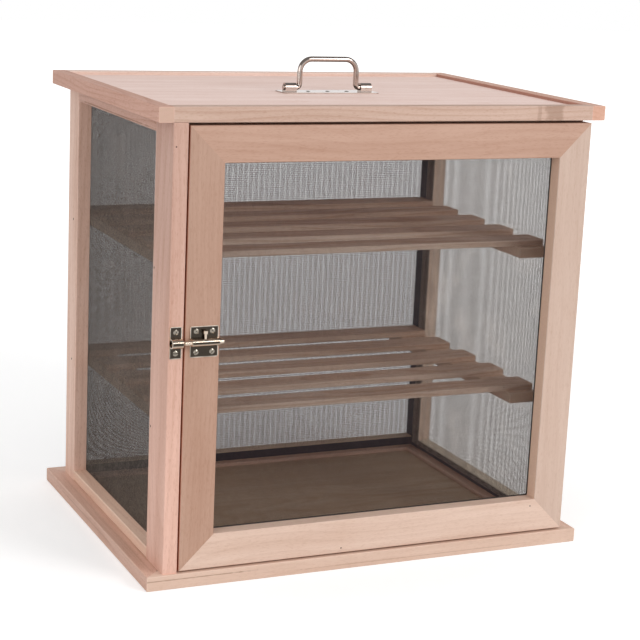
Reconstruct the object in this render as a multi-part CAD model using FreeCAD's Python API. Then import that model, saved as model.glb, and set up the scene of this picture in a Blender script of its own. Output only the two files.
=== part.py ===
import FreeCAD, Part
import math
import os

# Table-top pie safe: a beech cupboard with wire-screen walls, a screened front
# door, two slatted shelves, a small barrel bolt and a folding carry handle.
# Millimetres. The origin is the middle of the underside, +Z is up, the door
# faces -Y, and left and right are as seen from the front.

# Case
case_width = 488.0
case_depth = 367.0            # door front to the back of the posts
case_height = 476.0           # between the base and the top
frame_thickness = 16.0        # thickness of posts and rails
post_width = 36.0
bottom_rail_height = 12.0
top_rail_height = 15.0
arris = 0.7                   # planed-off corner on every wooden piece

# Base: four wide mitred rails round a thin floor let into a groove
base_thickness = 16.0
base_rail_width = 46.0
base_side_overhang = 18.0
base_front_overhang = 3.0
base_back_overhang = 20.0
floor_thickness = 6.0
floor_recess = 4.0
floor_tongue = 5.0

# Top: a board edged all round with slightly taller strips
top_side_overhang = 16.0
top_back_overhang = 19.0
edging_size = 16.0
top_panel_thickness = 12.0

# Door
door_thickness = 17.6
door_space = 18.0             # room that the door takes in front of the posts
door_member_width = 38.0
door_side_gap = 2.0
door_bottom_gap = 2.0
door_top_gap = 3.0

# Wire screens
screen_thickness = 0.5
screen_lap = 8.0
side_screen_lap = 19.0        # over the inner faces of the posts
screen_cells = 5              # openings each way in the coarse grid that stands for fine wire cloth
screen_bar = 4.0

# Shelves
shelf_bottoms = {"lower": 143.0, "upper": 314.0}    # above the base
bearer_width = 36.0
bearer_height = 12.0
bearer_front = 46.0           # behind the door front
bearer_length = 316.0
slat_width = 34.0
slat_thickness = 7.0
slat_count = 5
slat_pitch = 68.0
slat_front = 56.0             # behind the door front
slat_end_gap = 0.5

# Butt hinges
hinge_height = 50.0
hinge_levels = {"lower": 82.0, "upper": 393.0}      # above the base
leaf_thickness = 1.2
leaf_reach = 13.0
knuckle_radius = 2.8
knuckle_count = 3
knuckle_gap = 0.3
hinge_pin_radius = 1.35
hinge_pin_clearance = 0.05
hinge_axis_offset = 3.3       # beyond the side of the case

# Barrel bolt and keeper
bolt_level = 251.0            # above the base
bolt_radius = 2.8
bolt_length = 43.3
bolt_clearance = 0.1
bolt_travel = 10.5
bolt_axis_height = 4.6        # in front of the door
bolt_nose = 2.0               # length of the taper at its tip
bolt_chamfer = 0.4
bolt_parting = 0.8            # from the drawn-back tip to the left post
bolt_plate_width = 31.0
bolt_plate_height = 33.0
bolt_plate_inset = 5.0        # from the door's edge
barrel_wall = 1.1
barrel_setback = 0.5          # at each end of its plate
knob_height = 12.5
knob_radius = 2.6
knob_head_height = 4.0
knob_stem_radius = 1.6
knob_slot_clearance = 0.5
keeper_width = 13.0
keeper_height = 34.0
keeper_clearance = 1.1
sheet_thickness = 1.2
sheet_corner_radius = 2.0

# Carry handle
handle_x = 1.5                # its middle, a little right of the cupboard's own
handle_y = -16.0
handle_plate_length = 118.0
handle_plate_width = 30.0
handle_plate_corner = 4.0
handle_screw_pitch = 24.0
bow_rod_radius = 3.1
bow_rod_sides = 16            # flats that stand for the round rod
bow_bend_steps = 6
bow_half_span = 35.0
bow_height = 31.6             # pivot to the middle of the grip
bow_corner_radius = 14.0
bow_foot_radius = 4.0
bow_foot_projection = 1.5     # beyond the outer end of a socket
socket_inner_end = 40.0
socket_outer_end = 53.5
socket_radius = 5.0
socket_clearance = 0.1
pivot_height = 4.6            # above the handle plate

# Fasteners, small enough for flat sides to stand for round ones
fastener_sides = 8
screw_length = 12.0
screw_head_radius = 2.9
screw_shank_radius = 1.5
screw_slot_width = 0.8
screw_slot_depth = 0.6
nail_length = 32.0
nail_head_radius = 1.4
nail_shank_radius = 0.8
nail_edge_distance = 4.0      # from the rear edge of a front post

# Levels and planes that follow from these sizes
half_width = case_width / 2
base_top = base_thickness
case_top = base_top + case_height
panel_top = case_top + top_panel_thickness
base_depth = base_front_overhang + case_depth + base_back_overhang
front = -base_depth / 2 + base_front_overhang       # face of the closed door
back = front + case_depth
inner = half_width - frame_thickness
side_front = front + door_space + post_width        # rear edge of the front posts
side_back = back - post_width
door_left = -half_width + frame_thickness + door_side_gap
door_right = half_width
door_bottom = base_top + door_bottom_gap
door_top = case_top - door_top_gap
door_back = front + door_thickness

X = FreeCAD.Vector(1, 0, 0)
Y = FreeCAD.Vector(0, 1, 0)
Z = FreeCAD.Vector(0, 0, 1)


def at(x, y, z):
    return FreeCAD.Vector(x, y, z)


def block(x0, x1, y0, y1, z0, z1):
    return Part.makeBox(x1 - x0, y1 - y0, z1 - z0, at(x0, y0, z0))


def edges_along(shape, axis):
    """Straight edges of a shape that lie parallel to an axis."""
    found = []
    for edge in shape.Edges:
        step = edge.Vertexes[-1].Point - edge.Vertexes[0].Point
        if step.Length > 0 and step.cross(axis).Length < step.Length / 100:
            found.append(edge)
    return found


def planed(shape, axis):
    """Take the arris off the long edges of a wooden piece."""
    return shape.makeChamfer(arris, edges_along(shape, axis))


def turned(profile, point, direction):
    """Spin a (radius, depth) profile and set it at point, its depth along direction."""
    outline = [at(radius, 0, -depth) for radius, depth in profile]
    face = Part.Face(Part.makePolygon(outline + outline[:1]))
    solid = face.revolve(at(0, 0, 0), Z, 360)
    solid.Placement = FreeCAD.Placement(point, FreeCAD.Rotation(-Z, direction))
    return solid


def polygon_face(points):
    return Part.Face(Part.makePolygon(points + points[:1]))


def skinned(rings):
    """Solid through a row of rings with the same number of corners."""
    faces = [polygon_face(rings[0]), polygon_face(rings[-1])]
    for ring, following in zip(rings, rings[1:]):
        for corner in range(len(ring)):
            near = [ring[corner - 1], ring[corner]]
            far = [following[corner], following[corner - 1]]
            faces.append(polygon_face(near + far))
    return Part.Solid(Part.Shell(faces))


def fastener(head_radius, shank_radius, length):
    """Countersunk head and plain shank, pointing down from the origin."""
    turns = [2 * math.pi * side / fastener_sides for side in range(fastener_sides)]
    profile = [(head_radius, 0), (shank_radius, head_radius - shank_radius), (shank_radius, length)]
    rings = []
    for radius, depth in profile:
        rings.append([at(radius * math.cos(turn), radius * math.sin(turn), -depth) for turn in turns])
    return skinned(rings)


def driven(solid, point, direction):
    """A fastener driven in at point along direction, its head flush."""
    solid.Placement = FreeCAD.Placement(point, FreeCAD.Rotation(-Z, direction))
    return solid


def wood_screw(point, direction):
    slot = block(-screw_head_radius, screw_head_radius, -screw_slot_width / 2, screw_slot_width / 2,
                 -screw_slot_depth, screw_slot_depth)
    screw = fastener(screw_head_radius, screw_shank_radius, screw_length).cut(slot)
    return driven(screw, point, direction)


def nail(point, direction):
    return driven(fastener(nail_head_radius, nail_shank_radius, nail_length), point, direction)


def bored(shape, fasteners):
    """Cut the seat of every fastener that enters a piece."""
    hits = [item for item in fasteners if item.BoundBox.intersect(shape.BoundBox)]
    return shape.cut(hits) if hits else shape


def mitred(corners, thickness):
    """Member with mitred ends: its face through four corners, carried through its thickness."""
    return polygon_face(corners).extrude(thickness)


# ---- base ----------------------------------------------------------------

def base_side_rail(side):
    """Side rail of the base, mitred into the front and back rails, side -1 left or 1 right."""
    outer = side * (half_width + base_side_overhang)
    inside = outer - side * base_rail_width
    far = base_depth / 2
    near = far - base_rail_width
    corners = [at(outer, -far, 0), at(outer, far, 0), at(inside, near, 0), at(inside, -near, 0)]
    return planed(mitred(corners, Z * base_top), Y).cut(floor_panel())


def base_cross_rail(end):
    """Front or back rail of the base, mitred into the side rails, end -1 front or 1 back."""
    reach = half_width + base_side_overhang
    short = reach - base_rail_width
    outer = end * base_depth / 2
    inside = outer - end * base_rail_width
    corners = [at(-reach, outer, 0), at(reach, outer, 0), at(short, inside, 0), at(-short, inside, 0)]
    return planed(mitred(corners, Z * base_top), X).cut(floor_panel())


def floor_panel():
    """Thin floor, its edges held in a groove of the same size in the base rails."""
    reach = half_width + base_side_overhang - base_rail_width + floor_tongue
    depth = base_depth / 2 - base_rail_width + floor_tongue
    under = base_top - floor_recess - floor_thickness
    return block(-reach, reach, -depth, depth, under, under + floor_thickness)


# ---- posts and rails -----------------------------------------------------

def post(side, y0, y1):
    outer = side * half_width
    face = side * inner
    return planed(block(min(outer, face), max(outer, face), y0, y1, base_top, case_top), Z)


def side_rail(side, z0, z1):
    outer = side * half_width
    face = side * inner
    return planed(block(min(outer, face), max(outer, face), side_front, side_back, z0, z1), Y)


def cross_rail(y0, z0, z1):
    return planed(block(-inner, inner, y0, y0 + frame_thickness, z0, z1), X)


# ---- top -----------------------------------------------------------------

def top_side_edging(side):
    edge = side * half_width
    outer = side * (half_width + top_side_overhang)
    strip = block(min(edge, outer), max(edge, outer), front, back + top_back_overhang,
                  case_top, case_top + edging_size)
    return planed(strip, Y)


def top_cross_edging(y0):
    strip = block(-half_width, half_width, y0, y0 + edging_size, case_top, case_top + edging_size)
    return planed(strip, X)


def top_panel():
    return block(-half_width, half_width, front + edging_size, back + top_back_overhang - edging_size,
                 case_top, panel_top)


# ---- screens -------------------------------------------------------------

def grid_openings(low, high, lap):
    """Start and end of every opening along one direction of a screen."""
    if lap is None:
        return [(low, high)]
    first = low + lap
    step = (high - lap - first + screen_bar) / screen_cells
    return [(first + step * cell, first + step * (cell + 1) - screen_bar) for cell in range(screen_cells)]


def wire_screen(x_span, y_span, z_span, laps):
    """Sheet of wire cloth, plain in its laps and open between the bars of its grid."""
    spans = (x_span, y_span, z_span)
    across, along, upward = [grid_openings(*span, lap) for span, lap in zip(spans, laps)]
    openings = [block(*x, *y, *z) for x in across for y in along for z in upward]
    return block(*x_span, *y_span, *z_span).cut(openings)


def case_screen_levels():
    return (base_top + bottom_rail_height - screen_lap, case_top - top_rail_height + screen_lap)


def side_screen(side):
    """Screen laid on the inner face of a side frame."""
    face = side * inner
    inside = face - side * screen_thickness
    return wire_screen((min(face, inside), max(face, inside)),
                       (side_front - side_screen_lap, side_back + side_screen_lap),
                       case_screen_levels(), (None, side_screen_lap, screen_lap))


def back_screen():
    """Screen laid on the outside of the back posts and rails."""
    reach = inner + screen_lap
    return wire_screen((-reach, reach), (back, back + screen_thickness), case_screen_levels(),
                       (screen_lap, None, screen_lap))


def door_screen():
    """Screen laid on the back of the door frame."""
    inset = door_member_width - screen_lap
    return wire_screen((door_left + inset, door_right - inset), (door_back, door_back + screen_thickness),
                       (door_bottom + inset, door_top - inset), (screen_lap, None, screen_lap))


# ---- shelves -------------------------------------------------------------

def bearer(side, level):
    outer = side * (inner - screen_thickness)
    edge = outer - side * bearer_width
    y0 = front + bearer_front
    z0 = base_top + level
    piece = block(min(outer, edge), max(outer, edge), y0, y0 + bearer_length, z0, z0 + bearer_height)
    return planed(piece, Y)


def slat(level, index):
    reach = inner - screen_thickness - slat_end_gap
    y0 = front + slat_front + slat_pitch * index
    z0 = base_top + level + bearer_height
    return planed(block(-reach, reach, y0, y0 + slat_width, z0, z0 + slat_thickness), X)


def bearer_nails():
    """Nails through the posts, one into each end of each bearer."""
    into_front = side_front - nail_edge_distance
    into_back = front + bearer_front + bearer_length - frame_thickness
    nails = []
    for level in shelf_bottoms.values():
        for side in (-1, 1):
            for y in (into_front, into_back):
                point = at(side * half_width, y, base_top + level + bearer_height / 2)
                nails.append(nail(point, X * -side))
    return nails


# ---- door ----------------------------------------------------------------

def door_members():
    """The four members, each between two corners of the door and the two of its opening."""
    width = door_member_width
    outside = [at(x, front, z) for z in (door_bottom, door_top) for x in (door_left, door_right)]
    opening = [at(x, front, z) for z in (door_bottom + width, door_top - width)
               for x in (door_left + width, door_right - width)]
    low_left, low_right, high_left, high_right = range(4)
    members = {
        "door_latch_stile": (low_left, high_left, Z),
        "door_hinge_stile": (low_right, high_right, Z),
        "door_bottom_rail": (low_left, low_right, X),
        "door_top_rail": (high_left, high_right, X),
    }
    pieces = {}
    for name, (first, second, axis) in members.items():
        corners = [outside[first], outside[second], opening[second], opening[first]]
        pieces[name] = planed(mitred(corners, Y * door_thickness), axis)
    return pieces


# ---- hinges --------------------------------------------------------------

hinge_x = half_width + hinge_axis_offset
hinge_y = (door_back + front + door_space) / 2


def hinge_leaf(level, side):
    """Leaf let into the door (side -1) or the post (side 1), with its knuckles."""
    surface = door_back if side < 0 else front + door_space
    y0 = min(surface, surface + side * leaf_thickness)
    z0 = base_top + level - hinge_height / 2
    step = hinge_height / knuckle_count
    own = 0 if side > 0 else 1
    leaf = block(half_width - leaf_reach, hinge_x, y0, y0 + leaf_thickness, z0, z0 + hinge_height)
    for index in range(own, knuckle_count, 2):
        leaf = leaf.fuse(Part.makeCylinder(knuckle_radius, step, at(hinge_x, hinge_y, z0 + index * step), Z))
    for index in range(1 - own, knuckle_count, 2):
        leaf = leaf.cut(knuckle_room(z0 + index * step, step))
    clearance = hinge_pin_clearance if side < 0 else 0
    bore = Part.makeCylinder(hinge_pin_radius + clearance, hinge_height, at(hinge_x, hinge_y, z0), Z)
    return leaf.cut(bore).removeSplitter()


def knuckle_room(z0, height):
    """Room that one leaf leaves for a knuckle of the other."""
    reach = knuckle_radius + knuckle_gap
    return block(hinge_x - reach, hinge_x + reach, hinge_y - reach, hinge_y + reach,
                 z0 - knuckle_gap / 2, z0 + height + knuckle_gap / 2)


def leaf_seat(level, side):
    """Shallow seat that lets a leaf lie flush in the wood."""
    surface = door_back if side < 0 else front + door_space
    y0 = min(surface, surface + side * leaf_thickness)
    z0 = base_top + level - hinge_height / 2
    return block(half_width - leaf_reach, half_width, y0, y0 + leaf_thickness, z0, z0 + hinge_height)


def hinge_pin(level):
    """Pin riveted flush in the knuckles of the post leaf."""
    low = base_top + level - hinge_height / 2
    return Part.makeCylinder(hinge_pin_radius, hinge_height, at(hinge_x, hinge_y, low), Z)


def hinge_screws(side):
    """Two screws in each leaf of one side."""
    surface = door_back if side < 0 else front + door_space
    x = half_width - leaf_reach / 2
    screws = []
    for level in hinge_levels.values():
        for offset in (-hinge_height / 3, hinge_height / 3):
            screws.append(wood_screw(at(x, surface, base_top + level + offset), Y * side))
    return screws


# ---- barrel bolt ---------------------------------------------------------

bolt_x = door_left + bolt_plate_inset + bolt_plate_width / 2
bolt_y = front - bolt_axis_height
bolt_z = base_top + bolt_level
keeper_x = -half_width + 7.5
bolt_tip = -inner - bolt_parting
plate_screw_x = 8.8
plate_screw_z = 11.0


def sheet_plate(x_mid, width, height):
    """Flat plate with rounded corners, lying on the front."""
    plate = block(x_mid - width / 2, x_mid + width / 2, front - sheet_thickness, front,
                  bolt_z - height / 2, bolt_z + height / 2)
    return plate.makeFillet(sheet_corner_radius, edges_along(plate, Y))


def barrelled(plate, x_mid, width, bore_radius):
    """Plate with a barrel pressed up across its middle and bored for the bolt."""
    outer_radius = bore_radius + barrel_wall
    length = width - 2 * barrel_setback
    x0 = x_mid - length / 2
    in_front = block(x0, x0 + length, bolt_y - outer_radius, front,
                     bolt_z - outer_radius, bolt_z + outer_radius)
    crown = Part.makeCylinder(outer_radius, length, at(x0, bolt_y, bolt_z), X).common(in_front)
    walls = block(x0, x0 + length, bolt_y, front - sheet_thickness / 2,
                  bolt_z - outer_radius, bolt_z + outer_radius)
    bore = Part.makeCylinder(bore_radius, case_width, at(-case_width, bolt_y, bolt_z), X)
    return plate.fuse([crown, walls]).cut(bore)


def knob_slot():
    """Slot along the top of the barrel that the knob slides in."""
    room = knob_stem_radius + knob_slot_clearance
    return block(bolt_x - bolt_travel - room, bolt_x + room, bolt_y - room, bolt_y + room,
                 bolt_z, bolt_z + knob_height)


def bolt_plate():
    plate = sheet_plate(bolt_x, bolt_plate_width, bolt_plate_height)
    plate = barrelled(plate, bolt_x, bolt_plate_width, bolt_radius + bolt_clearance)
    return plate.cut(knob_slot()).removeSplitter()


def bolt_keeper():
    plate = sheet_plate(keeper_x, keeper_width, keeper_height)
    return barrelled(plate, keeper_x, keeper_width, bolt_radius + keeper_clearance).removeSplitter()


def bolt_rod():
    """Round bolt with a tapered nose and a turned knob standing up through the slot."""
    tail = bolt_length - bolt_chamfer
    profile = [(0, 0), (bolt_radius / 2, 0), (bolt_radius, bolt_nose), (bolt_radius, tail),
               (bolt_radius - bolt_chamfer, bolt_length), (0, bolt_length)]
    shaft = turned(profile, at(bolt_tip, bolt_y, bolt_z), X)
    neck = knob_height - knob_head_height
    crown = knob_height - bolt_chamfer
    knob_profile = [(0, 0), (knob_stem_radius, 0), (knob_stem_radius, neck),
                    (knob_radius, neck + bolt_chamfer), (knob_radius, crown),
                    (knob_radius - bolt_chamfer, knob_height), (0, knob_height)]
    knob = turned(knob_profile, at(bolt_x, bolt_y, bolt_z), Z)
    return shaft.fuse(knob).removeSplitter()


def bolt_plate_screws():
    face = front - sheet_thickness
    return [wood_screw(at(bolt_x + x * plate_screw_x, face, bolt_z + z * plate_screw_z), Y)
            for x in (-1, 1) for z in (-1, 1)]


def keeper_screws():
    face = front - sheet_thickness
    return [wood_screw(at(keeper_x, face, bolt_z + z * plate_screw_z), Y) for z in (-1, 1)]


# ---- carry handle --------------------------------------------------------

handle_top = panel_top + sheet_thickness
pivot_z = handle_top + pivot_height
bow_foot_end = socket_outer_end + bow_foot_projection


def handle_socket(side):
    """Folded socket that holds one foot of the bow."""
    length = socket_outer_end - socket_inner_end
    x0 = handle_x + min(side * socket_inner_end, side * socket_outer_end)
    roll = Part.makeCylinder(socket_radius, length, at(x0, handle_y, pivot_z), X)
    cheeks = block(x0, x0 + length, handle_y - socket_radius, handle_y + socket_radius,
                   handle_top - sheet_thickness / 2, pivot_z)
    return roll.fuse(cheeks)


def handle_plate():
    plate = block(handle_x - handle_plate_length / 2, handle_x + handle_plate_length / 2,
                  handle_y - handle_plate_width / 2, handle_y + handle_plate_width / 2,
                  panel_top, handle_top)
    plate = plate.makeFillet(handle_plate_corner, edges_along(plate, Z))
    plate = plate.fuse([handle_socket(-1), handle_socket(1)])
    bore = Part.makeCylinder(bow_rod_radius + socket_clearance, handle_plate_length,
                             at(handle_x - handle_plate_length / 2, handle_y, pivot_z), X)
    return plate.cut(bore).removeSplitter()


def bow_stations():
    """Place (x, z) and heading of the rod's centre line, from foot to foot, about its middle."""
    foot_x = bow_half_span + bow_foot_radius
    grip_x = bow_half_span - bow_corner_radius
    corner_z = bow_height - bow_corner_radius
    turns = [math.pi / 2 * step / bow_bend_steps for step in range(bow_bend_steps + 1)]
    half = [(-bow_foot_end, 0.0, 0.0)]
    for turn in turns:
        half.append((-foot_x + bow_foot_radius * math.sin(turn),
                     bow_foot_radius * (1 - math.cos(turn)), turn))
    for turn in reversed(turns):
        half.append((-grip_x - bow_corner_radius * math.sin(turn),
                     corner_z + bow_corner_radius * math.cos(turn), turn))
    return half + [(-x, z, -heading) for x, z, heading in reversed(half)]


def handle_bow():
    """Round rod bent to a grip, standing up on its two pivot feet."""
    rings = []
    for x, z, heading in bow_stations():
        ring = []
        for side in range(bow_rod_sides):
            turn = 2 * math.pi * side / bow_rod_sides
            across = bow_rod_radius * math.cos(turn)
            rise = bow_rod_radius * math.sin(turn)
            ring.append(at(handle_x + x - rise * math.sin(heading), handle_y + across,
                           pivot_z + z + rise * math.cos(heading)))
        rings.append(ring)
    return skinned(rings)


def handle_screws():
    return [wood_screw(at(handle_x + x, handle_y, handle_top), -Z)
            for x in (-handle_screw_pitch, 0, handle_screw_pitch)]


# ---- the whole cupboard --------------------------------------------------

def case_frame():
    """Posts and rails between the base and the top."""
    rail_low = base_top + bottom_rail_height
    rail_high = case_top - top_rail_height
    front_rail_y = front + door_space
    back_rail_y = back - frame_thickness
    pieces = {
        "left_front_post": post(-1, front, side_front),
        "left_back_post": post(-1, side_back, back),
        "right_front_post": post(1, front_rail_y, side_front),
        "right_back_post": post(1, side_back, back),
        "left_bottom_rail": side_rail(-1, base_top, rail_low),
        "left_top_rail": side_rail(-1, rail_high, case_top),
        "right_bottom_rail": side_rail(1, base_top, rail_low),
        "right_top_rail": side_rail(1, rail_high, case_top),
        "back_bottom_rail": cross_rail(back_rail_y, base_top, rail_low),
        "back_top_rail": cross_rail(back_rail_y, rail_high, case_top),
        "front_bottom_rail": cross_rail(front_rail_y, base_top, rail_low),
        "front_top_rail": cross_rail(front_rail_y, rail_high, case_top),
    }
    for level in hinge_levels.values():
        pieces["right_front_post"] = pieces["right_front_post"].cut(leaf_seat(level, 1))
    return pieces


def base_and_top():
    back_edge = back + top_back_overhang
    return {
        "base_left_rail": base_side_rail(-1),
        "base_right_rail": base_side_rail(1),
        "base_front_rail": base_cross_rail(-1),
        "base_back_rail": base_cross_rail(1),
        "floor_panel": floor_panel(),
        "top_left_edging": top_side_edging(-1),
        "top_right_edging": top_side_edging(1),
        "top_front_edging": top_cross_edging(front),
        "top_back_edging": top_cross_edging(back_edge - edging_size),
        "top_panel": top_panel(),
    }


def shelves():
    pieces = {}
    for name, level in shelf_bottoms.items():
        pieces[name + "_left_bearer"] = bearer(-1, level)
        pieces[name + "_right_bearer"] = bearer(1, level)
        for index in range(slat_count):
            pieces[name + "_slat_" + str(index + 1)] = slat(level, index)
    return pieces


def case_fittings():
    """Screens and hardware that stay on the case."""
    pieces = {
        "left_screen": side_screen(-1),
        "right_screen": side_screen(1),
        "back_screen": back_screen(),
        "bolt_keeper": bolt_keeper(),
        "handle_plate": handle_plate(),
    }
    for name, level in hinge_levels.items():
        pieces[name + "_hinge_post_leaf"] = hinge_leaf(level, 1)
    return pieces


def door():
    """Door frame with its screen, hinge leaves and bolt plate."""
    pieces = door_members()
    pieces["door_screen"] = door_screen()
    pieces["bolt_plate"] = bolt_plate()
    for name, level in hinge_levels.items():
        pieces["door_hinge_stile"] = pieces["door_hinge_stile"].cut(leaf_seat(level, -1))
        pieces[name + "_hinge_door_leaf"] = hinge_leaf(level, -1)
    return pieces


def cupboard():
    """Every node of the pie safe by name."""
    case_screws = hinge_screws(1) + keeper_screws() + handle_screws()
    door_screws = hinge_screws(-1) + bolt_plate_screws()
    nails = bearer_nails()
    case = {**base_and_top(), **case_frame(), **shelves(), **case_fittings()}
    nodes = {name: bored(shape, case_screws + nails) for name, shape in case.items()}
    nodes.update({name: bored(shape, door_screws) for name, shape in door().items()})
    nodes["case_screws"] = Part.makeCompound(case_screws)
    nodes["door_screws"] = Part.makeCompound(door_screws)
    nodes["bearer_nails"] = Part.makeCompound(nails)
    nodes["hinge_pins"] = Part.makeCompound([hinge_pin(level) for level in hinge_levels.values()])
    nodes["bolt"] = bolt_rod()
    nodes["handle_bow"] = handle_bow()
    return nodes


os.makedirs("parts", exist_ok=True)
for name, shape in cupboard().items():
    shape.exportStep("parts/" + name + ".step")
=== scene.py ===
import bpy
import bmesh
import math
import random
from mathutils import Matrix, Vector


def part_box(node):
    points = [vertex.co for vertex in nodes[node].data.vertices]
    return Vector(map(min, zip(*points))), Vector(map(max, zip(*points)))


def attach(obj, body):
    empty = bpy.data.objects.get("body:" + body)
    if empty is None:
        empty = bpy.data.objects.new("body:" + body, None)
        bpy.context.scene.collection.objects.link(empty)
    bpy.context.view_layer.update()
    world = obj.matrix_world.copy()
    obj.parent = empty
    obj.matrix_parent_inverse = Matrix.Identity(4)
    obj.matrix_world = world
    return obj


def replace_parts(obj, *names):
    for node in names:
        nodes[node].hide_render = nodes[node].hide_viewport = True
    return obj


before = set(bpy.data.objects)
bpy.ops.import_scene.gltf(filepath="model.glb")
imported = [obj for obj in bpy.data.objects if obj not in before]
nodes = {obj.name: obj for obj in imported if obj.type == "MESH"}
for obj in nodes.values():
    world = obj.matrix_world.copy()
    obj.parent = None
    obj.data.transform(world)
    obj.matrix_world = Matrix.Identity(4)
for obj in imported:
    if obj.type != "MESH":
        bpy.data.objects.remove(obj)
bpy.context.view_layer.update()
mm = 0.001
print("frame loaded:", len(nodes), "nodes")


def linear(red, green, blue):      # screen colour 0-255 to a shader colour
    channels = []
    for value in (red, green, blue):
        value /= 255
        channels.append(value / 12.92 if value <= 0.04045 else ((value + 0.055) / 1.055) ** 2.4)
    return (*channels, 1.0)


def shadeOf(colour, factors, most=1.0):      # a colour times one factor for each of its channels
    return (*[min(most, channel * factor) for channel, factor in zip(colour, factors)], 1.0)


def newGroup(kind, name, inputs, outputs):
    tree = bpy.data.node_groups.new(name, kind)
    for label, socketType, value in inputs:
        socket = tree.interface.new_socket(label, in_out="INPUT", socket_type=socketType)
        if value is not None:
            socket.default_value = value
    for label, socketType in outputs:
        tree.interface.new_socket(label, in_out="OUTPUT", socket_type=socketType)
    return tree, tree.nodes.new("NodeGroupInput").outputs, tree.nodes.new("NodeGroupOutput").inputs


def fill(tree, socket, value):     # a socket's value is either a link or a plain value
    if isinstance(value, bpy.types.NodeSocket):
        tree.links.new(value, socket)
    elif value is not None:
        socket.default_value = value


def put(tree, kind, values=None, **settings):
    node = tree.nodes.new(kind)
    for key, value in settings.items():
        setattr(node, key, value)
    for key, value in (values or {}).items():
        fill(tree, node.inputs[key], value)
    return node


def calc(tree, operation, first, second=None):
    return put(tree, "ShaderNodeMath", {0: first, 1: second}, operation=operation).outputs[0]


def vectorCalc(tree, operation, first, second=None):
    node = put(tree, "ShaderNodeVectorMath", {0: first, 1: second}, operation=operation)
    return node.outputs["Value" if operation == "LENGTH" else "Vector"]


def component(tree, vector, letter):
    return put(tree, "ShaderNodeSeparateXYZ", {0: vector}).outputs["XYZ".index(letter)]


def ramp(tree, value, low, high, outLow=0.0, outHigh=1.0):   # smooth step between two levels
    node = put(tree, "ShaderNodeMapRange", {0: value, 1: low, 2: high, 3: outLow, 4: outHigh})
    node.interpolation_type = "SMOOTHSTEP"
    return node.outputs[0]


def blendColour(tree, factor, first, second):
    node = put(tree, "ShaderNodeMix", data_type="RGBA")
    for index, value in ((0, factor), (6, first), (7, second)):
        fill(tree, node.inputs[index], value)
    return node.outputs[2]


def noise(tree, vector, scale, detail=2.0, roughness=0.5):
    values = {"Vector": vector, "Scale": scale, "Detail": detail, "Roughness": roughness}
    return put(tree, "ShaderNodeTexNoise", values).outputs["Fac"]


def stretched(tree, vector, scales, detail=2.0, roughness=0.5):   # noise with its own scale on each axis
    return noise(tree, vectorCalc(tree, "MULTIPLY", vector, scales), 1.0, detail, roughness)


def swing(tree, value, share):     # a noise brought around zero, as strong as its share
    return calc(tree, "MULTIPLY", calc(tree, "SUBTRACT", value, 0.5), share)


# wood: growth rings, long streaks and short flecks, with the grain along X
grainLook = {                      # three numbers are scales along the grain and in the two ways across it
    "wander": (3.0, 11.0, 11.0),
    "wanderReach": 0.05,
    "rings": (0.03, 1.0, 1.0),
    "lateWood": (0.45, 0.93),      # part of a ring over which it darkens
    "ringEnd": (1.0, 0.94),
    "bands": (2.6, 48.0, 48.0),
    "bandShare": 1.1,
    "mottle": (9.0, 26.0, 26.0),
    "streaks": (7.0, 330.0, 330.0),
    "streakShare": 1.5,
    "flecks": (190.0, 1100.0, 1100.0),
    "fleckLevels": (0.52, 0.68),
    "fleckDepth": 0.5,
    "middle": 0.28,                # tone of the wood between its marks
}


def buildBoardGrain():
    tree, given, result = newGroup("ShaderNodeTree", "boardGrain", [
        ("Coordinates", "NodeSocketVector", None),
        ("Pale", "NodeSocketColor", linear(240, 205, 185)),
        ("Deep", "NodeSocketColor", linear(200, 150, 120)),
        ("Ring Spacing", "NodeSocketFloat", 6.0 * mm),
        ("Rings", "NodeSocketFloat", 0.35),
        ("Streaks", "NodeSocketFloat", 0.5),
        ("Flecks", "NodeSocketFloat", 0.35),
        ("Mottle", "NodeSocketFloat", 0.7),
    ], [("Colour", "NodeSocketColor"), ("Height", "NodeSocketFloat"), ("Tone", "NodeSocketFloat")])
    place = given["Coordinates"]
    wander = swing(tree, stretched(tree, place, grainLook["wander"], 1.0), grainLook["wanderReach"])
    across = vectorCalc(tree, "LENGTH", vectorCalc(tree, "MULTIPLY", place, grainLook["rings"]))
    ring = calc(tree, "DIVIDE", calc(tree, "ADD", across, wander), given["Ring Spacing"])
    phase = calc(tree, "FRACT", ring)
    darkens = ramp(tree, phase, *grainLook["lateWood"])
    lateWood = calc(tree, "MULTIPLY", darkens, ramp(tree, phase, *grainLook["ringEnd"]))
    band = stretched(tree, place, grainLook["bands"])
    mottle = stretched(tree, place, grainLook["mottle"], 3.0, 0.6)
    streak = stretched(tree, place, grainLook["streaks"], 3.0, 0.6)
    fleck = ramp(tree, stretched(tree, place, grainLook["flecks"]), *grainLook["fleckLevels"])
    layers = [
        swing(tree, band, grainLook["bandShare"]),
        swing(tree, mottle, given["Mottle"]),
        calc(tree, "MULTIPLY", swing(tree, streak, grainLook["streakShare"]), given["Streaks"]),
        calc(tree, "MULTIPLY", lateWood, given["Rings"]),
        calc(tree, "MULTIPLY", fleck, given["Flecks"]),
    ]
    tone = layers[0]
    for layer in layers[1:]:
        tone = calc(tree, "ADD", tone, layer)
    tone = put(tree, "ShaderNodeClamp", {0: calc(tree, "ADD", tone, grainLook["middle"])}).outputs[0]
    pores = calc(tree, "SUBTRACT", streak, calc(tree, "MULTIPLY", fleck, grainLook["fleckDepth"]))
    fill(tree, result["Colour"], blendColour(tree, tone, given["Pale"], given["Deep"]))
    fill(tree, result["Tone"], tone)
    fill(tree, result["Height"], pores)
    return tree


# pale edges of a board or plate, from the corners of its box: painted highlights along the arris, broken up
# in patches
highlightPatches = {"patches": 90.0, "patchLevels": (0.35, 0.65)}


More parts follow.
